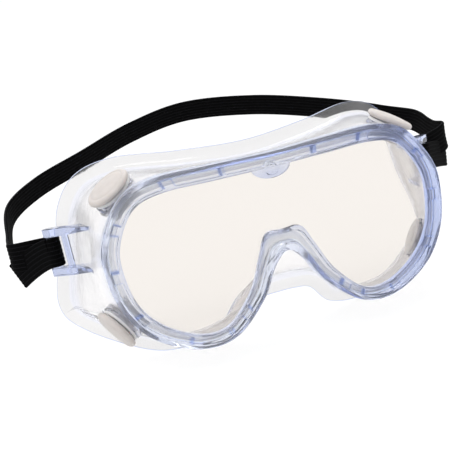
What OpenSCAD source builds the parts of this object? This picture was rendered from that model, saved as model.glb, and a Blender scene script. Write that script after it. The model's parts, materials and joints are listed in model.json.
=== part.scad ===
// Splash goggles: a soft clear frame moulding with a sealed lens, four round indirect
// vents with caps that turn, and an elastic head strap threaded through two lugs.
// Millimetres. +Z is up, the lens faces -Y and +X is the wearer's left.
// The origin is the centre of the face opening, on the plane of the rearmost flange points.
// Modules draw from the front of the rim (depth 0) backwards; placed() moves them home.

/* [Frame] */
// Depth from the front of the rim to the rearmost part of the face flange
frame_depth = 70.5; // [70:0.5:72]
// Depth of the stiff front rim
rim_depth = 8; // [8:0.5:9]
// Wall thickness of the skirt
skirt_wall = 1.8; // [1.6:0.1:2]
// How the skirt flares: 1 is straight, less bulges outwards
skirt_flare = 0.9; // [0.85:0.05:1.05]
// Width of the soft flange that lies on the face
flange_w = 6.5; // [5.5:0.5:7]
// Thickness of the flange at its edge
flange_edge = 1.2; // [1:0.1:1.4]

/* [Lens] */
// Radius of the upright cylinder that the lens and the front of the rim follow
lens_radius = 580; // [500:10:700]
// Thickness of the lens
lens_t = 2; // [1.8:0.1:2.1]

/* [Vents] */
// Radius of the round cap
cap_r = 10.25; // [10:0.05:10.5]
// Thickness of the cap's disc
cap_t = 2.6; // [2.4:0.1:2.8]
// Radius of the cap's stem
stem_r = 3.25; // [3:0.05:3.5]
// Outer radius of the moulded seat that holds the vent
seat_r = 9.4; // [9.2:0.1:9.6]
// Radius of the vent insert's barrel
barrel_r = 7; // [6.8:0.1:7.2]

/* [Strap] */
// Width of the elastic
strap_w = 13.2; // [12.8:0.2:13.6]
// Thickness of the elastic
strap_t = 1.4; // [1.2:0.1:1.5]
// Length of the free tail beyond the lug
tail_length = 22; // [20:0.5:24]
// Angle at which the head band rises behind the lugs
band_rise = 34; // [28:1:40]
// Half the distance between the two sides of the head band
band_half_w = 111; // [110:0.5:112]

/* [Hidden] */

clear_pvc = [0.78, 0.86, 0.96, 0.55];
clear_lens = [0.96, 0.94, 0.92, 0.35];
cap_beige = [0.85, 0.83, 0.80];
insert_grey = [0.80, 0.80, 0.80];
elastic_black = [0.05, 0.05, 0.06];

$fn = 64;
lens_facets = 720;       // fine enough for the shallow curve of the lens
span_steps = 3;          // points drawn between two stations of an outline
gap = 0.05;              // running clearance between pieces that fit together
sink = 0.4;              // how far a joined shape sinks into the one it grows from

// Half outlines from the top centre round the wearer's left lobe to the nose, as [x, z].
// Row n of each list belongs to row n of the others: together they make one station.
lip_half = [[0, 24], [24, 24.2], [45, 24.2], [57.5, 20.3], [65.3, 8.5], [67, -3], [64, -18],
            [55.5, -29], [42, -36.2], [30, -35.2], [18.5, -23.5], [12, -10.5], [7.5, -2.2], [0, -2]];
rim_half = [[0, 30.3], [25, 31], [48, 31], [62, 25.5], [72.3, 10], [74.2, -3], [71.2, -19],
            [61.5, -33], [44, -42], [28, -40.5], [14, -28.5], [7.6, -18], [3.2, -12.6], [0, -11]];
// The flange follows the face, so its half outline is [x, depth, z].
flange_half = [[0, 37, 34.5], [30, 44, 36.3], [57, 55, 39], [75, 64, 34.2], [86, 69, 20],
               [90.5, 70.5, 0], [96, 69, -24], [87, 60, -36.5], [61, 46, -50], [41, 41, -52],
               [24, 35, -47.5], [15, 31, -37.5], [7, 30, -35.5], [0, 30, -35.3]];
// Ribs across the rim's trough: a place near the outside of the rim and the rib's width
ribs = [[[20.2, 30.9], 1.4], [[43.7, 30.8], 4.6], [[70.2, 15.5], 4.6], [[74.2, -4.9], 4.6],
        [[67.6, -25.5], 4.6], [[46.1, -41.2], 4.6], [[29, -40.8], 1.4], [[20.2, -35], 4.6]];
stations = len(rim_half);
ring_points = 2 * (stations - 1) * span_steps;

// Depths inside the rim, measured from its front surface
trough_depth = 3;
rib_top = 0.7;
groove_front = 3.8;
groove_play = 0.24;      // spare depth of the groove round the lens
groove_back = groove_front + lens_t + groove_play;
lens_front = groove_front + groove_play / 2;

// Tab over the top of the lens
tab_half_w = 8.1;
tab_drop = 4.8;
tab_z = 24.6;
tab_t = 1.9;
tab_back = 2.4;
boss_z = 24.1;
boss_r = 3.2;
boss_h = 2;

// Shares of the way from the lens opening (0) to the outside of the rim (1)
trough_in = 0.22;
trough_out = 0.64;
lens_edge = 0.56;
groove_floor = 0.64;
rear_lip = 0.28;
skirt_root = 0.90;

// Vents: centre of the cap's outer face as [x, depth, z], and the way it faces
upper_vent = [[64.4, 20.8, 30.6], [0.50, -0.23, 0.835]];
lower_vent = [[75.5, 25.7, -31.6], [0.83, -0.28, -0.49]];
cap_gap = 0.5;                             // air gap under the cap
ring_t = 1.2;                              // visible ring of the insert
seat_top = -cap_t - cap_gap - ring_t;      // where the ring sits on the moulded seat
seat_length = 4.6;
seat_room = 0.4;                           // space round the cap and the plug
plug_t = 1.4;                              // flange of the insert inside the goggles
stem_length = 5;
air_holes = 6;                             // air comes down beside the stem and leaves sideways
air_r = 1.1;
air_slot = 0.8;                            // height of the way out, above the inner flange

// Strap lugs on the sides: a bar by the skirt and a bar that the strap folds round
lug_z = 4.4;
front_bar = [85.4, 44.5];
rear_bar = [91.5, 50.5];
bar_r = 2.1;
front_bar_r = 1.6;
arm_r = 3;
upper_root = [74.2, 33];
lower_root = [77.2, 33];
arm_t = 3.4;
arm_gap = 0.8;           // room between the strap's edge and an arm
arm_out = 2.4;           // how far an arm stands out from the front bar
root_t = 1.4;            // thickness of an arm where it meets the skirt
arm_heel = [2.6, 14];    // where an arm leaves the skirt again, from its root
tail_dir = [0.749, 0.663];
tail_side = [0.663, -0.749];
fold_r = bar_r + 0.1 + strap_t / 2;
leave_lug = 8;           // how straight the strap leaves the lug
reach_band = 7;          // and how straight it reaches the head band
bend_depth = 75.6;       // depth of the hinge line where the head band bends upwards
band_plan = [[0.985, 22], [0.86, 37], [0.61, 55], [0.31, 71], [-0.03, 79], [-0.33, 71],
             [-0.60, 56], [-0.83, 43], [-0.975, 27]];   // [share of the half width, reach behind the bend]
band_end_gap = 0.6;

// ---- curves ----

function catmull(a, b, c, d, t) =
    0.5 * (2 * b + (c - a) * t + (2 * a - 5 * b + 4 * c - d) * t * t + (3 * b - a - 3 * c + d) * t * t * t);

function mirror_x(p) = len(p) == 3 ? [-p[0], p[1], p[2]] : [-p[0], p[1]];

// A half outline and its mirror image, as one closed list of stations
function closed_ring(half) =
    concat(half, [for (i = [len(half) - 2 : -1 : 1]) mirror_x(half[i])]);

// A smooth closed curve through the stations
function smooth_ring(ring) =
    let (n = len(ring))
    [for (i = [0 : n - 1], s = [0 : span_steps - 1])
        catmull(ring[(i + n - 1) % n], ring[i], ring[(i + 1) % n], ring[(i + 2) % n], s / span_steps)];

// A smooth open curve through the points
function smooth_path(p) =
    let (last = len(p) - 1)
    concat([for (i = [0 : last - 1], s = [0 : span_steps - 1])
                catmull(p[max(i - 1, 0)], p[i], p[i + 1], p[min(i + 2, last)], s / span_steps)],
           [p[last]]);

function bezier(a, b, c, d, steps) =
    [for (i = [0 : steps])
        let (t = i / steps, u = 1 - t)
        u * u * u * a + 3 * u * u * t * b + 3 * u * t * t * c + t * t * t * d];

function unit(v) = v / norm(v);
function normal_at(path, i) =
    let (a = path[max(i - 1, 0)], b = path[min(i + 1, len(path) - 1)], v = unit(b - a))
    [v[1], -v[0]];

// A flat ribbon of width w along a 2D path
module ribbon(path, w) {
    side = [for (i = [0 : len(path) - 1]) normal_at(path, i) * w / 2];
    last = len(path) - 1;
    polygon(concat([for (i = [0 : last]) path[i] + side[i]],
                   [for (i = [last : -1 : 0]) path[i] - side[i]]));
}

// ---- frame ----

lip_ring = smooth_ring(closed_ring(lip_half));
rim_ring = smooth_ring(closed_ring(rim_half));
flange_ring = smooth_ring(closed_ring(flange_half));

// Depth of the curved front surface at a distance x from the middle
function front_depth(x) = lens_radius - sqrt(lens_radius * lens_radius - x * x);

// Outward normal of an [x, z] outline at point i
function outward(ring, i) =
    let (n = len(ring), v = unit(ring[(i + 1) % n] - ring[(i + n - 1) % n]))
    [-v[1], v[0]];

// A point at share u of the rim's width, at a depth behind the curved front
function across(i, u, depth) =
    let (p = lip_ring[i] + u * (rim_ring[i] - lip_ring[i]))
    [p[0], depth + front_depth(p[0]), p[1]];

flange_plan = [for (p = flange_ring) [p[0], p[2]]];

// A point on the skirt: v runs from the rim (0) to the root of the flange (1), inset is inwards
function skirt_point(i, v, inset) =
    let (root = across(i, skirt_root, rim_depth + 0.6),
         n = outward(flange_plan, i),
         edge = flange_ring[i],
         end = [edge[0] - n[0] * flange_w, edge[1] - flange_w * 0.7, edge[2] - n[1] * flange_w],
         share = pow(v, skirt_flare))
    [root[0] + share * (end[0] - root[0]) - n[0] * inset,
     root[1] + v * (end[1] - root[1]),
     root[2] + share * (end[2] - root[2]) - n[1] * inset];

// The flange is a thin lip that turns outwards to lie on the face
function flange_point(i, v, back) =
    let (root = skirt_point(i, 1, 0), edge = flange_ring[i])
    [root[0] + v * (edge[0] - root[0]),
     root[1] + pow(v, 0.6) * (edge[1] - flange_edge - root[1]) + back,
     root[2] + v * (edge[2] - root[2])];

function frame_section(i) = [
    across(i, 0, 0.8),
    across(i, trough_in - 0.05, 0.4),
    across(i, trough_in, trough_depth),
    across(i, trough_out, trough_depth),
    across(i, trough_out + 0.06, 0),
    across(i, 0.96, 0.2),
    across(i, 1, 1.2),
    across(i, 1, rim_depth),
    across(i, skirt_root, rim_depth + 0.6),
    skirt_point(i, 0.25, 0),
    skirt_point(i, 0.5, 0),
    skirt_point(i, 0.75, 0),
    skirt_point(i, 1, 0),
    flange_point(i, 0.5, 0),
    flange_point(i, 1, 0),
    flange_point(i, 1, flange_edge),
    flange_point(i, 0.5, flange_edge),
    skirt_point(i, 1, skirt_wall) + [0, flange_edge, 0],
    skirt_point(i, 0.75, skirt_wall),
    skirt_point(i, 0.5, skirt_wall),
    skirt_point(i, 0.25, skirt_wall),
    across(i, groove_floor, rim_depth + 0.6),
    across(i, rear_lip, rim_depth),
    across(i, rear_lip, groove_back),
    across(i, groove_floor, groove_back),
    across(i, groove_floor, groove_front),
    across(i, 0, groove_front)
];

module frame_shell() {
    sections = [for (i = [0 : ring_points - 1]) frame_section(i)];
    k = len(sections[0]);
    polyhedron(
        points = [for (s = sections) each s],
        faces = [for (i = [0 : ring_points - 1], j = [0 : k - 1])
            let (a = i * k + j, b = i * k + (j + 1) % k,
                 c = ((i + 1) % ring_points) * k + j, d = ((i + 1) % ring_points) * k + (j + 1) % k)
            each [[a, b, c], [b, d, c]]]);
}

// A rib that bridges the trough where the rim passes nearest to a place
module rim_rib(place, w) {
    away = [for (p = rim_ring) norm(p - place)];
    i = search(min(away), away)[0];
    span = rim_ring[i] - lip_ring[i];
    length = norm(span) * (trough_out - trough_in) + sink;
    height = trough_depth - rib_top + sink;
    translate(across(i, (trough_in + trough_out) / 2, rib_top + height / 2))
        rotate([0, -atan2(span[1], span[0]), 0])
            cube([length, height, w], center = true);
}

// The small tab over the top of the lens and its round boss
module centre_tab() {
    arc = [for (a = [0 : 7.5 : 180]) [tab_half_w * cos(a), tab_z - tab_drop * sin(a)]];
    translate([0, tab_back, 0]) rotate([90, 0, 0]) linear_extrude(tab_t) polygon(arc);
    translate([0, boss_h, boss_z]) rotate([90, 0, 0]) rotate_extrude() polygon([
        [0, 0], [boss_r, 0], [boss_r, boss_h - 0.3], [boss_r - 0.3, boss_h], [boss_r - 0.9, boss_h],
        [boss_r - 1.3, boss_h - 0.4], [boss_r - 1.5, boss_h / 2], [0, boss_h / 2]]);
}

// One arm: a wedge that grows out of the skirt from root to heel, and a link to the rear bar
module lug_arm(root) {
    out = arm_out * tail_side;
    plan = [root, front_bar + out, front_bar - out, root + arm_heel];
    thin = (arm_t - root_t) / 2;
    low = [thin, 0, 0, thin];
    polyhedron(
        points = concat([for (i = [0 : 3]) [each plan[i], low[i]]],
                        [for (i = [0 : 3]) [each plan[i], arm_t - low[i]]]),
        faces = concat([[0, 1, 2], [0, 2, 3], [4, 6, 5], [4, 7, 6]],
                       [for (i = [0 : 3]) let (k = (i + 1) % 4) each [[i, i + 4, k + 4], [i, k + 4, k]]]));
    linear_extrude(arm_t) {
        polygon([front_bar + out, rear_bar + arm_r * tail_side, rear_bar - arm_r * tail_side, front_bar - out]);
        translate(front_bar) circle(r = arm_out);
        translate(rear_bar) circle(r = arm_r);
    }
}

module strap_lug() {
    arm_z = strap_w / 2 + arm_gap;
    translate([0, 0, lug_z + arm_z]) lug_arm(upper_root);
    translate([0, 0, lug_z - arm_z - arm_t]) lug_arm(lower_root);
    for (bar = [[front_bar, front_bar_r], [rear_bar, bar_r]])
        translate([each bar[0], lug_z]) cylinder(r = bar[1], h = 2 * arm_z + arm_t, center = true);
}

// ---- placing ----

module placed() { translate([0, -frame_depth, 0]) children(); }
module on_side(left) { if (left) children(); else mirror([1, 0, 0]) children(); }

// Puts children on a vent's axis, with +Z outwards and zero at the cap's outer face
module at_vent(vent) {
    n = unit(vent[1]);
    translate(vent[0]) rotate([0, acos(n[2]), atan2(n[1], n[0])]) children();
}

// ---- sub-parts ----

module goggle_frame() color(clear_pvc) placed() {
    difference() {
        union() {
            frame_shell();
            centre_tab();
            for (left = [true, false], rib = ribs) on_side(left) rim_rib(rib[0], rib[1]);
            for (left = [true, false]) on_side(left) {
                strap_lug();
                for (vent = [upper_vent, lower_vent]) at_vent(vent)
                    translate([0, 0, seat_top - seat_length]) cylinder(r = seat_r, h = seat_length);
            }
        }
        for (left = [true, false], vent = [upper_vent, lower_vent]) on_side(left) at_vent(vent) vent_hole();
    }
}

// The bore for the insert, with room for the cap outside and the plug inside
module vent_hole() {
    foot = seat_top - seat_length;
    translate([0, 0, foot - 1]) cylinder(r = barrel_r + gap, h = seat_length + 2);
    translate([0, 0, seat_top]) cylinder(r = cap_r + seat_room, h = 8);
    translate([0, 0, foot - 4]) cylinder(r = seat_r, h = 4);
}

module lens() color(clear_lens) placed() {
    outline = [for (i = [0 : ring_points - 1]) let (p = across(i, lens_edge, 0)) [p[0], p[2]]];
    height = 120;
    intersection() {
        translate([0, 30, 0]) rotate([90, 0, 0]) linear_extrude(40) polygon(outline);
        translate([0, lens_front + lens_radius, -height / 2]) difference() {
            cylinder(r = lens_radius, h = height, $fn = lens_facets);
            translate([0, 0, -1]) cylinder(r = lens_radius - lens_t, h = height + 2, $fn = lens_facets);
        }
    }
}

module vent_insert(left, vent) color(insert_grey) placed() on_side(left) at_vent(vent) {
    foot = seat_top - seat_length;
    ring_r = seat_r - seat_room;
    difference() {
        rotate_extrude() polygon([
            [0, foot - plug_t - 0.8], [4.5, foot - plug_t - 0.6], [seat_r - 1, foot - plug_t],
            [ring_r, foot - plug_t + 0.6], [ring_r, foot - gap], [barrel_r, foot - gap],
            [barrel_r, seat_top + gap], [ring_r, seat_top + gap], [ring_r, seat_top + ring_t],
            [0, seat_top + ring_t]]);
        translate([0, 0, -cap_t - stem_length - 0.5]) cylinder(r = stem_r + gap, h = stem_length + 1);
        for (i = [0 : air_holes - 1]) rotate([0, 0, i * 360 / air_holes]) air_way(foot - air_slot);
    }
}

// One way for the air: down a bore beside the stem, then out through a slot above the inner flange
module air_way(low) {
    bore_at = (stem_r + barrel_r) / 2;
    slot_w = 1.6 * air_r;
    translate([bore_at, 0, low]) cylinder(r = air_r, h = cap_r);
    translate([bore_at, -slot_w / 2, low]) cube([cap_r - bore_at, slot_w, air_slot]);
}

module vent_cap(left, vent) color(cap_beige) placed() on_side(left) at_vent(vent) {
    rotate_extrude() polygon([
        [0, 0.5], [5, 0.35], [cap_r - 1.6, 0], [cap_r - 0.5, -0.5], [cap_r, -1.2], [cap_r, -2],
        [cap_r - 0.5, -cap_t + 0.1], [cap_r - 1, -cap_t], [stem_r, -cap_t], [stem_r, -cap_t - stem_length],
        [0, -cap_t - stem_length]]);
}

// The fold round the lug's rear bar and the layer that runs back to the head band
module strap_end(left) color(elastic_black) placed() on_side(left) {
    fold = [for (a = [0 : 10 : 180]) rear_bar + fold_r * (cos(a) * tail_side - sin(a) * tail_dir)];
    start = fold[len(fold) - 1];
    stop = [band_half_w, bend_depth - strap_w / 2 - band_end_gap];
    run = bezier(start, start + leave_lug * tail_dir, stop - [0, reach_band], stop, 12);
    translate([0, 0, lug_z - strap_w / 2]) linear_extrude(strap_w)
        ribbon(concat(fold, [for (i = [1 : len(run) - 1]) run[i]]), strap_t);
}

module strap_tail(left) color(elastic_black) placed() on_side(left) {
    start = rear_bar + fold_r * tail_side + 0.1 * tail_dir;
    translate([0, 0, lug_z - strap_w / 2]) linear_extrude(strap_w)
        ribbon([start, start + tail_length * tail_dir], strap_t);
}

// The band lies in a plane that rises behind the lugs and turns about its rounded ends
module head_band() color(elastic_black) placed() {
    ends = [[band_half_w, 0], [-band_half_w, 0]];
    bends = [for (p = band_plan) [p[0] * band_half_w, p[1]]];
    path = smooth_path(concat([ends[0]], bends, [ends[1]]));
    translate([0, bend_depth, lug_z]) rotate([band_rise, 0, 0]) {
        linear_extrude(strap_w, center = true) ribbon(path, strap_t);
        for (x = [-band_half_w, band_half_w])
            translate([x, 0, 0]) rotate([0, 90, 0]) cylinder(d = strap_w, h = strap_t, center = true);
    }
}

goggle_frame();
lens();
vent_insert(true, upper_vent);  // vent_insert_upper_left
vent_insert(false, upper_vent);  // vent_insert_upper_right
vent_insert(true, lower_vent);  // vent_insert_lower_left
vent_insert(false, lower_vent);  // vent_insert_lower_right
vent_cap(true, upper_vent);  // vent_cap_upper_left
vent_cap(false, upper_vent);  // vent_cap_upper_right
vent_cap(true, lower_vent);  // vent_cap_lower_left
vent_cap(false, lower_vent);  // vent_cap_lower_right
strap_end(true);  // strap_end_left
strap_end(false);  // strap_end_right
strap_tail(true);  // strap_tail_left
strap_tail(false);  // strap_tail_right
head_band();
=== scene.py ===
"""Splash goggles: the visual model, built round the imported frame.

Shapes are drawn in millimetres from the front of the rim backwards, the way the CAD draws them,
and to_row() moves them to the row's frame in metres. Vents and strap hang on the frame's joints.
"""
import json
import math

import bmesh
import bpy
import numpy as np
from mathutils import Matrix, Vector
from mathutils.kdtree import KDTree


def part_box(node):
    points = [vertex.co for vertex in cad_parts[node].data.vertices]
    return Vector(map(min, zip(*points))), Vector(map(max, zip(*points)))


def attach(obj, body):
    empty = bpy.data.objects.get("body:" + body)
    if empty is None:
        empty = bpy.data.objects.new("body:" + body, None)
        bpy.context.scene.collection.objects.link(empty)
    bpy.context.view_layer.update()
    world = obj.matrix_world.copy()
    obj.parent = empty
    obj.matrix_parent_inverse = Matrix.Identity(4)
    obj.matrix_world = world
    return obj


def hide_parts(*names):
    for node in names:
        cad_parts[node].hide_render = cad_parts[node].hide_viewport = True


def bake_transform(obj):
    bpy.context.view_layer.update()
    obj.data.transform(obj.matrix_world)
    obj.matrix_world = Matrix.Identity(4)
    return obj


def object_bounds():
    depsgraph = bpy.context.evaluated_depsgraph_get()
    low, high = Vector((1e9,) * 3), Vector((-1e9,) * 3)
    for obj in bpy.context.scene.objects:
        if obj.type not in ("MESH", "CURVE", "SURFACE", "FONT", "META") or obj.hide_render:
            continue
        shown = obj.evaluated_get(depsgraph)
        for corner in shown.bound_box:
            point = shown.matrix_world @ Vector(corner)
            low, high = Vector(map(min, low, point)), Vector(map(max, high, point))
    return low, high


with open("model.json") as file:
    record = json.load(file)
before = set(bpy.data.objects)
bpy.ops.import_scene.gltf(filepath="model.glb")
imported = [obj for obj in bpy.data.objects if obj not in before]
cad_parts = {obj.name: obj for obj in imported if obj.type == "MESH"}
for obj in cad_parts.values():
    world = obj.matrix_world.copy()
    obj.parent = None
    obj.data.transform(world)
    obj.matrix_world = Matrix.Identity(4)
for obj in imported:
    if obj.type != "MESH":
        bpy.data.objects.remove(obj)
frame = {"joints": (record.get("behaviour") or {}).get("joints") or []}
cad_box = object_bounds()

MM = 0.001
JOINTS = {j["name"]: j for j in frame["joints"]}
FRAME_DEPTH = -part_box("goggle_frame")[0][1] / MM      # front of the rim to the face plane
SIDES = (("left", 1), ("right", -1))
LEVELS = ("upper", "lower")

# ---- sizes, in millimetres ----

# The rim and its lens. A share runs across the rim, from 0 at the lens opening to 1 at the outside.
RIM_DEPTH = 8.0
LENS_RADIUS = 580.0
LENS_T = 2.0
LENS_EDGE = 0.56          # the share where the lens ends
GROOVE_FRONT = 3.8
GROOVE_PLAY = 0.12
GROOVE_BACK = GROOVE_FRONT + LENS_T + 2 * GROOVE_PLAY
GROOVE_FLOOR = 0.64       # the share where the groove ends
REAR_LIP = 0.28           # the share where the lip behind the lens starts
TROUGH_DEPTH = 3.0
TROUGH_IN = 0.22          # the shares where the floor of the trough starts and ends
TROUGH_OUT = 0.64
# The skirt behind the rim and the flange at its end, against the face
SKIRT_ROOT = 0.90         # the shares where the skirt's outside and inside leave the rim
SKIRT_ROOT_IN = 0.64
SKIRT_WALL = 1.5
SKIRT_FLARE = 0.9
FLANGE_W = 6.5
FLANGE_RISE = 0.7         # how far the flange leans forward, as a share of its width
FLANGE_EDGE = 1.1

# Half outlines from the top centre round the wearer's left lobe to the nose: lens opening [x, z],
# outside of the rim [x, z], and edge of the face flange [x, depth, z].
LIP_HALF = [(0, 24), (24, 24.2), (45, 24.2), (57.5, 20.3), (65.3, 8.5), (67, -3), (64, -18),
            (55.5, -29), (42, -36.2), (30, -35.2), (18.5, -23.5), (12, -10.5), (7.5, -2.2), (0, -2)]
RIM_HALF = [(0, 30.3), (25, 31), (48, 31), (62, 25.5), (72.3, 10), (74.2, -3), (71.2, -19),
            (61.5, -33), (44, -42), (28, -40.5), (14, -28.5), (7.6, -18), (3.2, -12.6), (0, -11)]
FLANGE_HALF = [(0, 37, 34.5), (30, 44, 36.3), (57, 55, 39), (75, 64, 34.2), (86, 69, 20),
               (90.5, 70.5, 0), (96, 69, -24), (87, 60, -36.5), (61, 46, -50), (41, 41, -52),
               (24, 35, -47.5), (15, 31, -37.5), (7, 30, -35.5), (0, 30, -35.3)]

# Ribs across the trough of the rim: a place near the outside of the rim and the rib's width
RIBS = [((20.2, 30.9), 1.4), ((43.7, 30.8), 4.6), ((70.2, 15.5), 4.6), ((74.2, -4.9), 4.6),
        ((67.6, -25.5), 4.6), ((46.1, -41.2), 4.6), ((29.0, -40.8), 1.4), ((20.2, -35), 4.6)]
RIB_RAMP = 0.35
RIB_TOP = 0.7
RING_STEP = 1.15
CORNER_POINTS = 3         # points that take the place of each corner of the moulding's section

# How milky and how blue the moulding is at the vent seats and at the strap lugs; the painted blue shade
# along the edges of the ribs; how blue it is where seen along its surface; the painted blue shade on
# the rim's far side
SEAT_LOOK = (0.7, 0.1)
LUG_LOOK = (0.0, 0.4)
RIB_EDGE_PAINTED_SHADE = 1.0
GRAZING_TINT = 0.5
FAR_SIDE_PAINTED_SHADE = 0.7

# The tab over the top of the lens and the boss on it
TAB_HALF_W = 8.1
TAB_DROP = 4.8
TAB_TOP = 24.6
TAB_T = 1.9
TAB_FRONT = 0.5
BOSS_R = 3.2
BOSS_Z = 24.1
BOSS_BACK = 2.0

# A vent, outwards from zero at the cap's face: the seat and the insert are below it
CAP_R = 10.25
CAP_T = 2.6
STEM_R = 3.2
SEAT_R = 9.4
BARREL_R = 7.0
SEAT_TOP = -4.3
SEAT_FOOT = -8.9
CAP_ROOM = 0.4
FIT = 0.05
BORE_FOOT = -8.1          # where the bore for the cap's stem ends
AIR_HOLES = 6             # air comes down beside the stem and leaves sideways, above the inner plug
AIR_R = 1.1
AIR_SIDE = 0.88
AIR_PLACE = 5.1
AIR_GAP = 0.8

# The strap lugs: two bars across two tapered arms
LUG_Z = 4.4
STRAP_W = 13.2
STRAP_T = 1.4
FRONT_BAR = np.array([85.4, 44.5])
REAR_BAR = np.array([91.5, 50.5])
BAR_R = 2.1
FRONT_BAR_R = 1.6
ARM_R = 3.0
ARM_T = 3.4
ROOT_T = 1.4
ARM_OUT = 2.4
ARM_HEEL = (2.6, 14.0)
UPPER_ARM_ROOT = (74.4, 33)
LOWER_ARM_ROOT = (77.4, 33)
ARM_GAP = 0.7
# The elastic
TAIL_DIR = np.array([0.749, 0.663])
TAIL_SIDE = np.array([0.663, -0.749])
TAIL_LENGTH = 22.0
TAIL_DROOP = {"left": 3.0, "right": 9.0}
RIB_PITCH = STRAP_W / 7
RIB_HEIGHT = 0.2
EDGE_ROUND = 0.8          # how far in from its edges the webbing is rounded
EDGE_HALF_T = 0.12
BAND_HALF_W = 111.0
BAND_RISE = math.radians(34)
SLACK_LIFT = 7.0          # the strap is higher on the wearer's left, fading out over SLACK_REACH
SLACK_REACH = 36.0
BLEND_HALF = 12.0         # the band's run starts this far ahead of its hinge, where the strap's fixed run ends
BEND_HALF = 9.0           # at rest it turns into its rise this far each side of the hinge
FOLD_R = BAR_R + 0.15 + STRAP_T / 2
HINGE = np.array(JOINTS["head_band_swing"]["pos_m"]) / MM + [0, FRAME_DEPTH, 0]
BLEND_START = HINGE[1] - BLEND_HALF
# Plan of the band's free run: share of its half width, and distance behind the hinge
BAND_PLAN = [(0.985, 22), (0.86, 37), (0.61, 55), (0.31, 71), (-0.03, 79), (-0.33, 71),
             (-0.60, 56), (-0.83, 43), (-0.975, 27)]


def to_row(points):
    """Drawing millimetres to metres in the row's frame."""
    return (np.asarray(points, float) - [0, FRAME_DEPTH, 0]) * MM


# ---- curves ----

def catmull(p, u):
    """Points on a closed Catmull-Rom curve through p, at the station numbers u."""
    n = len(p)
    i = np.floor(u).astype(int)
    t = (u - i)[:, None]
    a, b, c, d = (p[(i + k) % n] for k in (-1, 0, 1, 2))
    return 0.5 * (2 * b + (c - a) * t + (2 * a - 5 * b + 4 * c - d) * t**2
                  + (3 * b - a - 3 * c + d) * t**3)


def open_curve(points, steps):
    """A smooth open curve through points."""
    p = np.array(points, float)
    p = np.vstack([2 * p[0] - p[1], p, 2 * p[-1] - p[-2]])
    u = np.linspace(1, len(p) - 2 - 1e-9, (len(points) - 1) * steps + 1)
    return catmull(p, u)


def closed_ring(half):
    """A half outline and its mirror image, as one closed array of stations."""
    half = np.array(half, float)
    return np.vstack([half, half[-2:0:-1] * ([-1] + [1] * (half.shape[1] - 1))])


def even_path(p, step):
    """The path p resampled at an even step."""
    length = np.concatenate([[0], np.cumsum(np.linalg.norm(np.diff(p, axis=0), axis=1))])
    s = np.linspace(0, length[-1], max(2, int(round(length[-1] / step)) + 1))
    return np.stack([np.interp(s, length, p[:, k]) for k in range(p.shape[1])], 1)


def eased(share):
    """A share from 0 to 1, made to start and stop gently."""
    share = np.clip(share, 0, 1)
    return 3 * share**2 - 2 * share**3


def front_depth(x):
    """Depth of the curved front surface at a distance x from the middle."""
    return LENS_RADIUS - np.sqrt(LENS_RADIUS**2 - x**2)


# ---- meshes ----

def new_mesh(name, verts, faces, smooth_deg=35):
    me = bpy.data.meshes.new(name)
    me.from_pydata([tuple(v) for v in verts], [], faces)
    bm = bmesh.new()
    bm.from_mesh(me)
    bmesh.ops.recalc_face_normals(bm, faces=bm.faces)
    bm.to_mesh(me)
    bm.free()
    shade(me, smooth_deg)
    ob = bpy.data.objects.new(name, me)
    bpy.context.scene.collection.objects.link(ob)
    return ob


def shade(me, smooth_deg):
    me.shade_smooth()
    me.set_sharp_from_angle(angle=math.radians(smooth_deg))


def ring_faces(rows, cols, wrap_rows=True):
    """Quads of a grid that closes on itself along its columns, and along its rows if asked."""
    faces = []
    for i in range(rows if wrap_rows else rows - 1):
        k = (i + 1) % rows
        for j in range(cols):
            m = (j + 1) % cols
            faces.append((i * cols + j, i * cols + m, k * cols + m, k * cols + j))
    return faces


def lathe(name, profile, steps=96):
    """A closed solid turned about Z; the profile runs from the axis out and back to the axis."""
    inner = profile[1:-1]
    verts = [(r * math.cos(a), r * math.sin(a), z)
             for a in (2 * math.pi * i / steps for i in range(steps)) for r, z in inner]
    cols = len(inner)
    faces = []
    for i in range(steps):
        k = (i + 1) % steps
        for j in range(cols - 1):
            faces.append((i * cols + j, k * cols + j, k * cols + j + 1, i * cols + j + 1))
    first = len(verts)
    verts += [(0, 0, profile[0][1]), (0, 0, profile[-1][1])]
    for i in range(steps):
        k = (i + 1) % steps
        faces.append((first, k * cols, i * cols))
        faces.append((first + 1, i * cols + cols - 1, k * cols + cols - 1))
    return new_mesh(name, verts, faces)


def prism(name, outline, low, high):
    """An [x, y] outline raised along Z."""
    n = len(outline)
    verts = [(x, y, z) for z in (low, high) for x, y in outline]
    faces = [tuple(range(n))[::-1], tuple(range(n, 2 * n))]
    faces += [(i, (i + 1) % n, n + (i + 1) % n, n + i) for i in range(n)]
    return new_mesh(name, verts, faces)


def circle(centre, r, steps):
    turn = 2 * math.pi / steps
    return [(centre[0] + r * math.cos(turn * i), centre[1] + r * math.sin(turn * i))
            for i in range(steps)]


def apply_modifiers(ob):
    dg = bpy.context.evaluated_depsgraph_get()
    me = bpy.data.meshes.new_from_object(ob.evaluated_get(dg))
    ob.modifiers.clear()
    old = ob.data
    ob.data = me
    me.name = old.name
    bpy.data.meshes.remove(old)


def bevel(ob, width):
    """Rounds the sharp edges of ob."""
    mod = ob.modifiers.new("bevel", "BEVEL")
    mod.width = width
    mod.segments = 3
    mod.limit_method = "ANGLE"
    mod.angle_limit = math.radians(40)
    apply_modifiers(ob)
    shade(ob.data, 50)


def combine(ob, tool, operation):
    """Joins tool to ob, or cuts it away, and deletes tool."""
    mod = ob.modifiers.new("combine", "BOOLEAN")
    mod.operation = operation
    mod.solver = "MANIFOLD"
    mod.object = tool
    bpy.context.view_layer.update()
    apply_modifiers(ob)
    bpy.data.objects.remove(tool)


def set_matrix(ob, matrix):
    """Moves the mesh itself, so the object keeps the row's origin."""
    ob.data.transform(matrix)
    ob.data.update()
    if matrix.determinant() < 0:
        ob.data.flip_normals()


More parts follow.
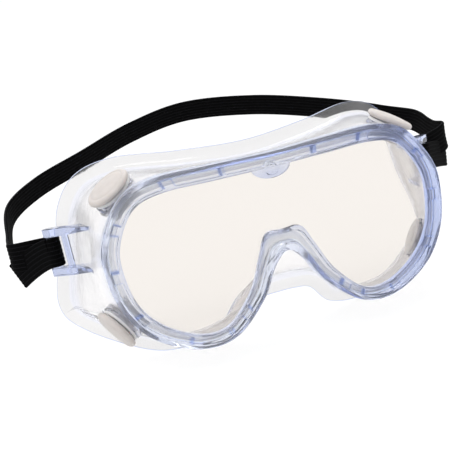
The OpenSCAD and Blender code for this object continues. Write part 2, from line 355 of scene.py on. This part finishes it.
def vent_matrix(level, side):
    """Metres in the row's frame from a vent's own millimetres: +Z outwards, zero at the cap's face."""
    joint = JOINTS[f"cap_{level}_{side}_turn"]
    axis = Vector(joint["axis"])
    turn = axis.to_track_quat("Z", "Y").to_matrix().to_4x4()
    return Matrix.Translation(joint["pos_m"]) @ turn @ Matrix.Scale(MM, 4)


def lug_matrix(side):
    """Metres in the row's frame from drawing millimetres; side -1 mirrors to the wearer's right."""
    mirror = Matrix.Diagonal((MM * side, MM, MM, 1))
    return Matrix.Translation((0, -FRAME_DEPTH * MM, 0)) @ mirror


def attribute(me, name, values):
    layer = me.attributes.new(name, "FLOAT", "POINT")
    layer.data.foreach_set("value", np.asarray(values, np.float32))


# ---- materials ----

def node_material(name):
    mat = bpy.data.materials.new(name)
    mat.use_nodes = True
    nodes = mat.node_tree.nodes
    return mat, nodes, mat.node_tree.links, nodes["Principled BSDF"]


def attribute_node(nodes, name):
    node = nodes.new("ShaderNodeAttribute")
    node.attribute_name = name
    return node.outputs["Fac"]


def noise_node(nodes, links, scale, detail=4.0, coordinates=None):
    node = nodes.new("ShaderNodeTexNoise")
    node.inputs["Scale"].default_value = scale
    node.inputs["Detail"].default_value = detail
    coordinates = coordinates or nodes.new("ShaderNodeTexCoord").outputs["Object"]
    links.new(coordinates, node.inputs["Vector"])
    return node.outputs["Fac"]


def ramp_node(nodes, links, value, stops):
    """Maps a value to a colour through (place, colour) stops."""
    ramp = nodes.new("ShaderNodeValToRGB")
    elements = ramp.color_ramp.elements
    while len(elements) < len(stops):
        elements.new(0.5)
    for element, (place, colour) in zip(elements, stops):
        element.position = place
        element.color = (*colour, 1)
    links.new(value, ramp.inputs["Fac"])
    return ramp.outputs["Color"]


def range_node(nodes, links, value, low, high, from_low=0.0, from_high=1.0):
    node = nodes.new("ShaderNodeMapRange")
    links.new(value, node.inputs["Value"])
    node.inputs["From Min"].default_value = from_low
    node.inputs["From Max"].default_value = from_high
    node.inputs["To Min"].default_value = low
    node.inputs["To Max"].default_value = high
    return node.outputs["Result"]


def math_node(nodes, links, operation, a, b):
    node = nodes.new("ShaderNodeMath")
    node.operation = operation
    links.new(a, node.inputs[0])
    links.new(b, node.inputs[1])
    return node.outputs["Value"]


def bump_node(nodes, links, height, shader, strength, distance):
    node = nodes.new("ShaderNodeBump")
    node.inputs["Strength"].default_value = strength
    node.inputs["Distance"].default_value = distance
    links.new(height, node.inputs["Height"])
    links.new(node.outputs["Normal"], shader.inputs["Normal"])


def pvc_material():
    """Soft clear PVC: blue where it is thick or edge on, milky and slightly rough over the skirt; part
    of the blue is painted shade, along the rib edges and on the rim's far side.
    """
    mat, nodes, links, bsdf = node_material("clear_pvc")
    milk = attribute_node(nodes, "milk")
    tint_and_painted_shade = attribute_node(nodes, "tint_and_painted_shade")
    # Clear rim and lugs, then the face flange, then the milky skirt
    tone = ramp_node(nodes, links, milk, [(0.0, (0.97, 0.985, 1.0)),
                                          (0.25, (0.89, 0.88, 0.872)),
                                          (1.0, (0.985, 0.965, 0.948))])
    grazing = nodes.new("ShaderNodeLayerWeight")
    grazing.inputs["Blend"].default_value = 0.5
    along = range_node(nodes, links, grazing.outputs["Facing"], 0.0, GRAZING_TINT, 0.4, 1.0)
    clear = range_node(nodes, links, milk, 1.0, 0.0)
    edge = math_node(nodes, links, "MULTIPLY", along, clear)
    blue = nodes.new("ShaderNodeMixRGB")
    blue.inputs["Color2"].default_value = (0.35, 0.46, 0.86, 1)
    links.new(tone, blue.inputs["Color1"])
    links.new(math_node(nodes, links, "MAXIMUM", edge, tint_and_painted_shade), blue.inputs["Fac"])
    links.new(blue.outputs["Color"], bsdf.inputs["Base Color"])
    bsdf.inputs["IOR"].default_value = 1.35
    links.new(range_node(nodes, links, milk, 0.91, 0.92), bsdf.inputs["Transmission Weight"])
    links.new(range_node(nodes, links, milk, 0.04, 0.16), bsdf.inputs["Roughness"])
    ripple = noise_node(nodes, links, 160.0, 2.0)
    bump_node(nodes, links, ripple, bsdf, 0.12, 0.0006)
    volume = nodes.new("ShaderNodeVolumeAbsorption")
    volume.inputs["Color"].default_value = (0.40, 0.53, 0.92, 1)
    volume.inputs["Density"].default_value = 28.0
    links.new(volume.outputs["Volume"], nodes["Material Output"].inputs["Volume"])
    return mat


def lens_material():
    """Polished polycarbonate, very faintly warm, with hair-fine handling marks."""
    mat, nodes, links, bsdf = node_material("lens")
    bsdf.inputs["Base Color"].default_value = (0.835, 0.795, 0.755, 1)
    bsdf.inputs["IOR"].default_value = 1.5
    bsdf.inputs["Transmission Weight"].default_value = 1.0
    smear = noise_node(nodes, links, 45.0, 6.0)
    links.new(range_node(nodes, links, smear, 0.0, 0.05, 0.45, 0.75), bsdf.inputs["Roughness"])
    return mat


def plastic_material(name, colour, roughness):
    """Moulded satin plastic with a fine even texture and a little tone variation."""
    mat, nodes, links, bsdf = node_material(name)
    dark = tuple(c * 0.9 for c in colour)
    cloud = noise_node(nodes, links, 220.0, 5.0)
    links.new(ramp_node(nodes, links, cloud, [(0.3, dark), (0.7, colour)]), bsdf.inputs["Base Color"])
    grain = noise_node(nodes, links, 2600.0, 3.0)
    links.new(range_node(nodes, links, grain, roughness - 0.07, roughness + 0.07),
              bsdf.inputs["Roughness"])
    bsdf.inputs["Subsurface Weight"].default_value = 0.15
    bsdf.inputs["Subsurface Radius"].default_value = (1.0, 0.8, 0.6)
    bsdf.inputs["Subsurface Scale"].default_value = 0.002
    bump_node(nodes, links, grain, bsdf, 0.3, 0.0001)
    return mat


def elastic_material():
    """Black knitted elastic: fine courses across the webbing, with thin lighter lines in the valleys
    between ribs.
    """
    mat, nodes, links, bsdf = node_material("elastic")
    across = attribute_node(nodes, "across")
    place = nodes.new("ShaderNodeCombineXYZ")
    links.new(attribute_node(nodes, "along"), place.inputs["X"])
    links.new(across, place.inputs["Y"])
    courses = nodes.new("ShaderNodeTexWave")
    courses.inputs["Scale"].default_value = 0.45
    courses.inputs["Distortion"].default_value = 0.8
    courses.inputs["Detail"].default_value = 2.0
    links.new(place.outputs["Vector"], courses.inputs["Vector"])
    fibre = noise_node(nodes, links, 5.0, 4.0, place.outputs["Vector"])
    knit = math_node(nodes, links, "MULTIPLY", courses.outputs["Fac"], fibre)
    half = RIB_PITCH / 2
    fold = nodes.new("ShaderNodeMath")
    fold.operation = "PINGPONG"
    fold.inputs[1].default_value = half
    links.new(across, fold.inputs[0])
    valley = range_node(nodes, links, fold.outputs["Value"], 0.0, 1.0, half - 0.14, half)
    yarn = ramp_node(nodes, links, knit,
                     [(0.1, (0.0003, 0.0003, 0.0004)), (0.7, (0.002, 0.002, 0.0026))])
    tone = nodes.new("ShaderNodeMixRGB")
    tone.inputs["Color2"].default_value = (0.018, 0.018, 0.021, 1)
    links.new(valley, tone.inputs["Fac"])
    links.new(yarn, tone.inputs["Color1"])
    links.new(tone.outputs["Color"], bsdf.inputs["Base Color"])
    links.new(range_node(nodes, links, fibre, 0.75, 0.95), bsdf.inputs["Roughness"])
    bsdf.inputs["Sheen Weight"].default_value = 0.004
    bsdf.inputs["Sheen Roughness"].default_value = 0.5
    bsdf.inputs["Specular IOR Level"].default_value = 0.06
    bump_node(nodes, links, knit, bsdf, 0.6, 0.0003)
    return mat


PVC = pvc_material()
LENS = lens_material()
CAP = plastic_material("vent_cap", (0.68, 0.63, 0.60), 0.42)
INSERT = plastic_material("vent_insert", (0.92, 0.91, 0.91), 0.5)
ELASTIC = elastic_material()


def dress(ob, material, node):
    ob.data.materials.clear()
    ob.data.materials.append(material)
    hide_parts(node)


def finish_piece(ob, material, body, node):
    dress(ob, material, node)
    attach(ob, body)


# ---- the frame moulding ----

LIP = closed_ring(LIP_HALF)
RIM = closed_ring(RIM_HALF)
FLANGE = closed_ring(FLANGE_HALF)


def ring_stations():
    """Stations round the rim: their numbers, how deep the trough is, and which are a rib's edge."""
    u = np.linspace(0, len(RIM), 60 * len(RIM) + 1)
    p = catmull(RIM, u)
    length = np.concatenate([[0], np.cumsum(np.linalg.norm(np.diff(p, axis=0), axis=1))])
    total = length[-1]
    spots = list(np.arange(0, total, RING_STEP))
    ribs = []
    for (x, z), width in RIBS:
        for side in (1, -1):
            centre = length[np.argmin(np.hypot(p[:, 0] - side * x, p[:, 1] - z))]
            ribs.append((centre, width / 2))
            spots += [centre + k * (width / 2 + e) for k in (1, -1) for e in (0, RIB_RAMP)]
    spots = np.sort(np.mod(spots, total))
    spots = spots[np.concatenate([[True], np.diff(spots) > 0.05])]
    rise = np.zeros(len(spots))
    edge = np.zeros(len(spots), bool)
    for centre, half in ribs:
        away = np.abs(np.mod(spots - centre + total / 2, total) - total / 2)
        rise = np.maximum(rise, np.clip((half + RIB_RAMP - away) / RIB_RAMP, 0, 1))
        edge |= np.abs(away - half - RIB_RAMP / 2) < RIB_RAMP
    return np.interp(spots, length, u), TROUGH_DEPTH - (TROUGH_DEPTH - RIB_TOP) * rise, edge


def ring_sections(u, trough):
    """The frame's closed section at every station: (corner point, corner radius, milkiness, tint)."""
    lip, rim, edge = catmull(LIP, u), catmull(RIM, u), catmull(FLANGE, u)
    plan = edge[:, [0, 2]]
    tangent = np.roll(plan, -1, 0) - np.roll(plan, 1, 0)
    tangent /= np.linalg.norm(tangent, axis=1)[:, None]
    normal = np.stack([-tangent[:, 1], tangent[:, 0]], 1)

    def across(share, depth):
        p = lip + share * (rim - lip)
        return np.stack([p[:, 0], depth + front_depth(p[:, 0]), p[:, 1]], 1)

    root = across(SKIRT_ROOT, RIM_DEPTH + 0.6)
    end = edge - FLANGE_W * np.stack([normal[:, 0], np.full(len(u), FLANGE_RISE), normal[:, 1]], 1)

    def skirt(v, inset):
        share = v ** SKIRT_FLARE
        p = root + np.array([share, v, share]) * (end - root)
        p[:, [0, 2]] -= normal * inset
        return p

    def flange(v, behind):
        rise = v ** 0.6
        p = end + np.array([v, rise, v]) * (edge - [0, FLANGE_EDGE, 0] - end)
        p[:, 1] += behind
        return p

    inside = np.array([0, FLANGE_EDGE, 0])
    front = [(across(0, 0.9), 0.35, 0, 0.25),
             (across(0.17, 0.4), 0.3, 0, 0),
             (across(TROUGH_IN, trough), 0.35, 0, 0),
             (across(TROUGH_OUT, trough), 0.35, 0, 0),
             (across(0.70, 0.05), 0.3, 0, 0),
             (across(1.0, 0.1), 1.3, 0, 0.12),
             (across(1.0, RIM_DEPTH), 0.5, 0, 0.12),
             (across(0.93, RIM_DEPTH + 0.3), 0.4, 0.1, 0.1)]
    skirt_outside = [(skirt(0.08, 0), 1.5, 0.6, 0),
                     (skirt(0.25, 0), 3, 1, 0),
                     (skirt(0.5, 0), 3, 1, 0),
                     (skirt(0.75, 0), 3, 1, 0),
                     (skirt(0.97, 0), 3, 0.8, 0.05)]
    face_flange = [(flange(0.25, 0), 1, 0.25, 0),
                   (flange(0.6, 0), 1.5, 0.25, 0),
                   (flange(0.92, 0), 0.3, 0.25, 0),
                   (flange(1, 0), 0.3, 0, 0.8),
                   (flange(1, FLANGE_EDGE), 0.3, 0, 0.8),
                   (flange(0.92, FLANGE_EDGE), 0.3, 0.25, 0),
                   (flange(0.6, FLANGE_EDGE), 1.5, 0.25, 0),
                   (flange(0.25, FLANGE_EDGE), 1, 0.25, 0)]
    skirt_inside = [(skirt(1, SKIRT_WALL) + inside, 3, 0.8, 0.2),
                    (skirt(0.75, SKIRT_WALL), 3, 1, 0),
                    (skirt(0.5, SKIRT_WALL), 3, 1, 0),
                    (skirt(0.25, SKIRT_WALL), 3, 1, 0)]
    back = [(across(SKIRT_ROOT_IN, RIM_DEPTH + 0.8), 0.6, 0.1, 0),
            (across(REAR_LIP, RIM_DEPTH), 0.5, 0, 0.2),
            (across(REAR_LIP, GROOVE_BACK), 0.2, 0, 0),
            (across(GROOVE_FLOOR, GROOVE_BACK), 0.15, 0, 0),
            (across(GROOVE_FLOOR, GROOVE_FRONT), 0.15, 0, 0),
            (across(0, GROOVE_FRONT), 0.4, 0, 0.35)]
    return front + skirt_outside + face_flange + skirt_inside + back


def rounded(sections):
    """Replaces each corner by points on a small curve."""
    points, looks = [], []
    corners = [s[0] for s in sections]
    for k, (p, radius, milk, tint_and_painted_shade) in enumerate(sections):
        arms = []
        for q in (corners[k - 1], corners[(k + 1) % len(corners)]):
            reach = np.linalg.norm(q - p, axis=1)[:, None]
            arms.append(p + (q - p) * np.minimum(radius / reach, 0.45))
        points += [arms[0], 0.25 * arms[0] + 0.5 * p + 0.25 * arms[1], arms[1]]
        looks += [(milk, tint_and_painted_shade)] * CORNER_POINTS
    return np.stack(points, 1), looks


def frame_ring():
    """The moulding without its lugs and seats, with a tree of its points and their looks."""
    u, trough, rib_edge = ring_stations()
    grid, looks = rounded(ring_sections(u, trough))
    ring = new_mesh("frame_moulding", to_row(grid.reshape(-1, 3)), ring_faces(*grid.shape[:2]))
    values = np.tile(looks, (len(u), 1, 1))
    trough_floor = slice(2 * CORNER_POINTS, 4 * CORNER_POINTS)
    # Painted blue shade on the trough floor where it climbs the sides of each rib, standing in for the
    # dark edge lines of the clear ribs
    values[rib_edge, trough_floor, 1] = RIB_EDGE_PAINTED_SHADE
    # Painted blue shade: the front of the rim grows bluer towards the outside of the wearer's left
    # lobe, standing in for the wall seen edge on; the right side gets none
    rim_x = catmull(RIM, u)[:, :1]
    front_points = slice(0, 7 * CORNER_POINTS)       # from the lens opening to the rim's outside
    far_side_painted_shade = FAR_SIDE_PAINTED_SHADE * eased(rim_x / rim_x.max())
    values[:, front_points, 1] = np.maximum(values[:, front_points, 1], far_side_painted_shade)
    values = values.reshape(-1, 2)
    tree = KDTree(len(ring.data.vertices))
    for i, v in enumerate(ring.data.vertices):
        tree.insert(v.co, i)
    tree.balance()
    return ring, tree, values


def hull(name, points):
    """The convex hull of points, as an object."""
    me = bpy.data.meshes.new(name)
    me.from_pydata([tuple(p) for p in points], [], [])
    bm = bmesh.new()
    bm.from_mesh(me)
    spare = [v for v in bmesh.ops.convex_hull(bm, input=bm.verts)["geom_interior"]
             if isinstance(v, bmesh.types.BMVert)]
    bmesh.ops.delete(bm, geom=spare, context="VERTS")
    bm.to_mesh(me)
    bm.free()
    ob = bpy.data.objects.new(name, me)
    bpy.context.scene.collection.objects.link(ob)
    return ob


def lug_arm(root, low):
    """One arm of a strap lug: a wedge that grows out of the skirt, and a link to the rear bar."""
    middle = low + ARM_T / 2

    def disc(place, r, height):
        faces = (middle - height / 2, middle + height / 2)
        return [(x, y, z) for x, y in circle(place, r, 24) for z in faces]

    heel = np.add(root, ARM_HEEL)
    front = disc(FRONT_BAR, ARM_OUT, ARM_T)
    wedge = hull("arm", disc(root, 0.5, ROOT_T) + disc(heel, 0.5, ROOT_T) + front)
    link = hull("link", front + disc(REAR_BAR, ARM_R, ARM_T))
    combine(wedge, link, "UNION")
    bevel(wedge, 0.4)
    return wedge


def bar(place, r):
    """A bar across a lug, ending in the middle of each arm."""
    reach = STRAP_W / 2 + ARM_GAP + ARM_T / 2
    return prism("bar", circle(place, r, 32), LUG_Z - reach, LUG_Z + reach)


def centre_tab():
    """The small moulded tab over the top of the lens."""
    arc = [(TAB_HALF_W * math.cos(a), TAB_TOP - TAB_DROP * math.sin(a))
           for a in np.linspace(0, math.pi, 25)]
    tab = prism("tab", arc, 0, TAB_T)
    stand_up = Matrix.Rotation(math.pi / 2, 4, "X")
    set_matrix(tab, Matrix.Translation((0, TAB_FRONT + TAB_T, 0)) @ stand_up)
    return tab


def boss():
    """The round raised boss on the tab, with a dimple in it."""
    profile = [(0, 0), (BOSS_R, 0), (BOSS_R, 1.7), (2.9, 2.0), (2.3, 2.0), (1.9, 1.6), (1.7, 0.9),
               (1.2, 0.7), (0.9, 1.2), (0, 1.3)]
    ob = lathe("boss", profile, 48)
    set_matrix(ob, Matrix.Translation((0, BOSS_BACK, BOSS_Z)) @ Matrix.Rotation(math.pi / 2, 4, "X"))
    return ob


def seat_tools(level, side_name):
    """The seat to add for one vent, and the hole to cut for its barrel and cap."""
    seat = lathe("seat", [(0, SEAT_FOOT), (SEAT_R - 0.3, SEAT_FOOT), (SEAT_R, SEAT_FOOT + 0.3),
                          (SEAT_R, SEAT_TOP - 0.5), (SEAT_R - 0.5, SEAT_TOP), (0, SEAT_TOP)])
    room = CAP_R + CAP_ROOM
    bore = BARREL_R + FIT
    hole = lathe("hole", [(0, SEAT_FOOT - 4), (SEAT_R, SEAT_FOOT - 4), (SEAT_R, SEAT_FOOT),
                          (bore, SEAT_FOOT), (bore, SEAT_TOP), (room, SEAT_TOP), (room, 5), (0, 5)])
    for tool in (seat, hole):
        set_matrix(tool, vent_matrix(level, side_name))
    return seat, hole


def paint_frame(ring, tree, values):
    """Writes each point's looks: its own on the ring, and one pair for all seats and all lugs."""
    same_point = 1.5 * MM
    seat_reach = 1.5 * SEAT_R * MM
    vents = [Vector(JOINTS[f"cap_{level}_{side_name}_turn"]["pos_m"])
             for side_name, _ in SIDES for level in LEVELS]
    looks = []
    for v in ring.data.vertices:
        _, index, away = tree.find(v.co)
        near_vent = min((v.co - place).length for place in vents) < seat_reach
        if away < same_point:
            looks.append(values[index])
        else:
            looks.append(SEAT_LOOK if near_vent else LUG_LOOK)
    # The tint column also carries the painted blue shade on the rib edges and the rim's far side
    for name, column in zip(("milk", "tint_and_painted_shade"), np.array(looks).T):
        attribute(ring.data, name, column)


def goggle_frame():
    """The whole moulding: ring, tab, boss, lugs and vent seats."""
    ring, tree, values = frame_ring()
    for tool in (centre_tab(), boss()):
        set_matrix(tool, lug_matrix(1))
        combine(ring, tool, "UNION")
    high = LUG_Z + STRAP_W / 2 + ARM_GAP
    low = LUG_Z - STRAP_W / 2 - ARM_GAP - ARM_T
    for side_name, side in SIDES:
        for tool in (lug_arm(UPPER_ARM_ROOT, high), lug_arm(LOWER_ARM_ROOT, low),
                     bar(FRONT_BAR, FRONT_BAR_R), bar(REAR_BAR, BAR_R)):
            set_matrix(tool, lug_matrix(side))
            combine(ring, tool, "UNION")
        for level in LEVELS:
            seat, hole = seat_tools(level, side_name)
            combine(ring, seat, "UNION")
            combine(ring, hole, "DIFFERENCE")
    paint_frame(ring, tree, values)
    shade(ring.data, 35)
    finish_piece(ring, PVC, "frame", "goggle_frame")


# ---- the lens ----

def lens_sheet():
    """A curved sheet cut to the groove, drawn as rings round a point above the nose."""
    centre = np.array([0.0, 15.0])
    u = np.linspace(0, len(RIM), 261)[:-1]
    lip, rim = catmull(LIP, u), catmull(RIM, u)
    edge = lip + LENS_EDGE * (rim - lip)
    shares = np.linspace(0, 1, 21)[1:]
    plan = np.vstack([centre[None]] + [centre + s * (edge - centre) for s in shares])
    depth = GROOVE_FRONT + GROOVE_PLAY + front_depth(plan[:, 0])
    front = np.stack([plan[:, 0], depth, plan[:, 1]], 1)
    back = front + [0, LENS_T, 0]
    n = len(u)
    count = len(plan)
    faces = []
    for side in (0, count):
        faces += [(side, side + 1 + i, side + 1 + (i + 1) % n) for i in range(n)]
        for r in range(len(shares) - 1):
            a, b = side + 1 + r * n, side + 1 + (r + 1) * n
            faces += [(a + i, b + i, b + (i + 1) % n, a + (i + 1) % n) for i in range(n)]
    last = count - n
    for i in range(n):
        k = (i + 1) % n
        faces.append((last + i, last + count + i, last + count + k, last + k))
    ob = new_mesh("lens_sheet", to_row(np.vstack([front, back])), faces)
    finish_piece(ob, LENS, "frame", "lens")


# ---- the vents ----

def vent_cap(level, side_name):
    """A domed disc with a rolled rim and a fine step, on a stem."""
    profile = [(0, 0.62), (2, 0.6), (4, 0.5), (6, 0.33), (7.6, 0.12), (7.9, -0.1), (8.15, -0.12),
               (8.5, 0.02), (9.2, -0.05), (9.8, -0.35), (10.15, -0.85), (CAP_R, -1.3),
               (10.2, -1.9), (9.95, -2.35), (9.5, -CAP_T), (8.2, -CAP_T), (7.8, -2.2),
               (STEM_R + 0.8, -2.2), (STEM_R, -2.5), (STEM_R, -CAP_T - 4.6),
               (STEM_R - 0.4, -CAP_T - 5), (0, -CAP_T - 5)]
    cap = lathe(f"vent_cap_{level}_{side_name}_disc", profile)
    set_matrix(cap, vent_matrix(level, side_name))
    finish_piece(cap, CAP, f"cap_{level}_{side_name}", f"vent_cap_{level}_{side_name}")


def vent_insert(level, side_name):
    """The vent's body: outer ring, barrel through the seat and a domed plug inside."""
    ring = SEAT_R - 0.4
    top = SEAT_TOP + 1.2
    foot = SEAT_FOOT - FIT
    under_ring = SEAT_TOP + FIT
    plug = [(0, foot - 2.2), (2.5, foot - 2.1), (4.5, foot - 1.8), (5.2, foot - 1.3),
            (5.8, foot - 1.25), (6.4, foot - 1.5), (ring - 0.8, foot - 1.4),
            (ring - 0.2, foot - 1.1), (ring, foot - 0.6), (ring, foot)]
    barrel = [(BARREL_R, foot), (BARREL_R, under_ring)]
    outer_ring = [(ring, under_ring), (ring + 0.1, top - 0.5), (ring - 0.3, top), (ring - 1.2, top),
                  (ring - 1.5, top - 0.35), (STEM_R + 1.2, top - 0.35), (STEM_R + 1.0, top), (0, top)]
    body = lathe("insert", plug + barrel + outer_ring)
    bore_r = STEM_R + 2 * FIT
    bore = lathe("bore", [(0, BORE_FOOT), (bore_r, BORE_FOOT), (bore_r, 0), (0, 0)], 48)
    combine(body, bore, "DIFFERENCE")
    for i in range(AIR_HOLES):
        turn = Matrix.Rotation(2 * math.pi * i / AIR_HOLES, 4, "Z")
        hole = prism("hole", circle((AIR_PLACE, 0), AIR_R, 20), foot - AIR_GAP, 0)
        exit_slot = prism("slot", [(AIR_PLACE, -AIR_SIDE), (SEAT_R, -AIR_SIDE), (SEAT_R, AIR_SIDE),
                                   (AIR_PLACE, AIR_SIDE)], foot - AIR_GAP, foot)
        for tool in (hole, exit_slot):
            set_matrix(tool, turn)
            combine(body, tool, "DIFFERENCE")
    body.name = f"vent_body_{level}_{side_name}"
    set_matrix(body, vent_matrix(level, side_name))
    shade(body.data, 35)
    finish_piece(body, INSERT, "frame", f"vent_insert_{level}_{side_name}")


# ---- the strap ----

def webbing_section():
    """Closed outline of the webbing, (across, thickness): ribbed faces and soft edges."""
    a = np.linspace(-STRAP_W / 2, STRAP_W / 2, 57)
    edge = np.clip((STRAP_W / 2 - np.abs(a)) / EDGE_ROUND, 0, 1)
    ribs = RIB_HEIGHT * (np.abs(np.cos(math.pi * a / RIB_PITCH)) - 1)
    b = (STRAP_T / 2 + ribs) * np.sqrt(1 - (1 - edge) ** 2) + EDGE_HALF_T
    return np.vstack([np.stack([a, b], 1), np.stack([a[::-1], -b[::-1]], 1)])


def webbing(name, path, across):
    """A length of elastic along path; across gives the direction of its width at each point."""
    tangent = np.gradient(path, axis=0)
    tangent /= np.linalg.norm(tangent, axis=1)[:, None]
    across = across - (across * tangent).sum(1)[:, None] * tangent
    across /= np.linalg.norm(across, axis=1)[:, None]
    face = np.cross(tangent, across)
    section = webbing_section()
    grid = (path[:, None] + section[None, :, :1] * across[:, None]
            + section[None, :, 1:] * face[:, None])
    rows, cols = grid.shape[:2]
    faces = ring_faces(rows, cols, wrap_rows=False)
    faces += [tuple(range(cols)), tuple((rows - 1) * cols + j for j in range(cols))]
    ob = new_mesh(name, to_row(grid.reshape(-1, 3)), faces, 60)
    run = np.concatenate([[0], np.cumsum(np.linalg.norm(np.diff(path, axis=0), axis=1))])
    attribute(ob.data, "along", np.repeat(run, cols))
    attribute(ob.data, "across", np.tile(section[:, 0], rows))
    return ob


def upright(path):
    """Width direction of a strap standing on edge: upright, but square to the run where it climbs."""
    along = np.gradient(path, axis=0)
    along /= np.linalg.norm(along, axis=1)[:, None]
    up = np.array([0, 0, 1]) - along * along[:, 2:]
    return up / np.linalg.norm(up, axis=1)[:, None]


def fixed_run():
    """Plan of the strap on the wearer's left: the fold round the rear bar and the run back."""
    fold = [REAR_BAR + FOLD_R * (math.cos(a) * TAIL_SIDE - math.sin(a) * TAIL_DIR)
            for a in np.linspace(0, math.pi, 19)]
    start = fold[-1]
    stop = np.array([BAND_HALF_W, BLEND_START])
    # A Bezier curve from the fold to where the band's blend starts
    t = np.linspace(0, 1, 30)[1:, None]
    a, b, c, d = start, start + 9 * TAIL_DIR, stop - [0, 7], stop
    run = (1 - t) ** 3 * a + 3 * (1 - t) ** 2 * t * b + 3 * (1 - t) * t**2 * c + t**3 * d
    return even_path(np.vstack([fold, run]), 0.6)


def on_side(plan, side):
    """A plan drawn for the wearer's left, on either side, at the height of the lugs."""
    return np.stack([plan[:, 0] * side, plan[:, 1], np.full(len(plan), LUG_Z)], 1)


def strap_end(side_name, side):
    """The layer of elastic that goes round the lug and back; it climbs on the wearer's left."""
    path = on_side(fixed_run(), side)
    if side_name == "left":
        path[:, 2] += SLACK_LIFT * eased((path[:, 1] - REAR_BAR[1]) / (BLEND_START - REAR_BAR[1]))
    ob = webbing(f"strap_fold_{side_name}", path, upright(path))
    finish_piece(ob, ELASTIC, "frame", f"strap_end_{side_name}")


def strap_tail(side_name, side):
    """The free tail; it droops a little."""
    start = REAR_BAR + FOLD_R * TAIL_SIDE
    length = TAIL_LENGTH + 0.1
    s = np.linspace(0, length, 44)
    path = on_side(start + s[:, None] * TAIL_DIR, side)
    path[:, 2] -= TAIL_DROOP[side_name] * (s / length) ** 1.4
    ob = webbing(f"strap_free_tail_{side_name}", path, upright(path))
    dress(ob, ELASTIC, f"strap_tail_{side_name}")
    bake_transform(ob)


def band_path():
    """Centre line and width direction of the head band, from the left side round to the right."""
    straight = [(1, -BLEND_HALF), (1, -6), (1, 4)]
    plan = straight + BAND_PLAN + [(-x, y) for x, y in straight[::-1]]
    curve = even_path(open_curve([(x * BAND_HALF_W, y) for x, y in plan], 12), 1.2)
    x, reach = curve.T

    def slope(distance):
        return BAND_RISE * eased((distance + BEND_HALF) / (2 * BEND_HALF))

    steps = np.linspace(-BLEND_HALF, reach.max() + 1, 400)
    angle = slope(steps)[1:]
    run = np.concatenate([[0], np.cumsum(np.cos(angle) * np.diff(steps))])
    lift = np.concatenate([[0], np.cumsum(np.sin(angle) * np.diff(steps))])
    y = BLEND_START + np.interp(reach, steps, run)
    z = LUG_Z + np.interp(reach, steps, lift)
    z += SLACK_LIFT * eased(1 - reach / SLACK_REACH) * (x > 0)
    path = np.stack([x, y, z], 1)
    across = np.stack([np.zeros(len(x)), -np.sin(slope(reach)), np.cos(slope(reach))], 1)
    return path, across


def head_band():
    path, across = band_path()
    ob = webbing("head_band_elastic", path, across)
    dress(ob, ELASTIC, "head_band")
    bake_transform(ob)


# ---- studio ----

def floor():
    """A pale lit table top, as a studio uses for clear goods."""
    size = 12.0
    low = cad_box[0][2] - 0.6 * MM
    corners = [(-size, -size, low), (size, -size, low), (size, size, low), (-size, size, low)]
    ob = new_mesh("floor", corners, [(0, 1, 2, 3)])
    mat, nodes, links, bsdf = node_material("floor")
    bsdf.inputs["Base Color"].default_value = (0.2, 0.2, 0.2, 1)
    bsdf.inputs["Roughness"].default_value = 0.9
    bsdf.inputs["Specular IOR Level"].default_value = 0.1
    bsdf.inputs["Emission Color"].default_value = (1, 1, 1, 1)
    path = nodes.new("ShaderNodeLightPath")
    seen, cast = 0.85, 0.55       # how bright it glows to the eye, and how much it lights the object
    links.new(range_node(nodes, links, path.outputs["Is Diffuse Ray"], seen, cast),
              bsdf.inputs["Emission Strength"])
    ob.data.materials.append(mat)


def area_light(name, place, size, energy):
    data = bpy.data.lights.new(name, "AREA")
    data.shape = "RECTANGLE"
    data.size, data.size_y = size
    data.energy = energy
    ob = bpy.data.objects.new(name, data)
    ob.location = place
    ob.rotation_euler = (-Vector(place)).to_track_quat("-Z", "Y").to_euler()
    bpy.context.scene.collection.objects.link(ob)


def studio_world():
    """White walls behind the object, fading to grey behind the camera."""
    world = bpy.data.worlds.new("studio")
    world.use_nodes = True
    nodes, links = world.node_tree.nodes, world.node_tree.links
    direction = nodes.new("ShaderNodeTexCoord").outputs["Generated"]
    split = nodes.new("ShaderNodeSeparateXYZ")
    links.new(direction, split.inputs["Vector"])
    depth = range_node(nodes, links, split.outputs["Y"], 0.0, 1.0, -1.0, 1.0)
    tone = ramp_node(nodes, links, depth, [(0.0, (0.75, 0.75, 0.76)), (0.45, (0.92, 0.92, 0.92)),
                                           (0.75, (1.02, 1.02, 1.02))])
    links.new(tone, nodes["Background"].inputs["Color"])
    bpy.context.scene.world = world


def studio():
    floor()
    studio_world()
    area_light("key", (-0.5, -0.5, 1.0), (0.6, 0.3), 3.0)
    area_light("top", (0.35, 0.5, 0.9), (0.8, 0.3), 2.5)
    bpy.context.scene.view_settings.view_transform = "Standard"


def camera():
    """The viewing angle: from the wearer's right, a little above, and turned in its own plane."""
    azimuth, elevation, roll = (math.radians(a) for a in (-11.8, 10.6, -12.5))
    distance = 315            # millimetres
    shift = 23.8              # millimetres
    focal = 62
    back = Vector((math.sin(azimuth) * math.cos(elevation), -math.cos(azimuth) * math.cos(elevation),
                   math.sin(elevation)))
    right = Vector((math.cos(azimuth), math.sin(azimuth), 0))
    up = back.cross(right)
    turned = math.cos(roll) * right + math.sin(roll) * up
    top = back.cross(turned)
    data = bpy.data.cameras.new("camera")
    data.lens = focal
    data.clip_start = 0.01
    ob = bpy.data.objects.new("camera", data)
    place = Vector(to_row(back * distance - turned * shift))
    ob.matrix_world = Matrix.Translation(place) @ Matrix((turned, top, back)).transposed().to_4x4()
    bpy.context.scene.collection.objects.link(ob)
    bpy.context.scene.camera = ob


goggle_frame()
lens_sheet()
for side_name, side in SIDES:
    for level in LEVELS:
        vent_insert(level, side_name)
        vent_cap(level, side_name)
    strap_end(side_name, side)
    strap_tail(side_name, side)
head_band()
studio()
camera()
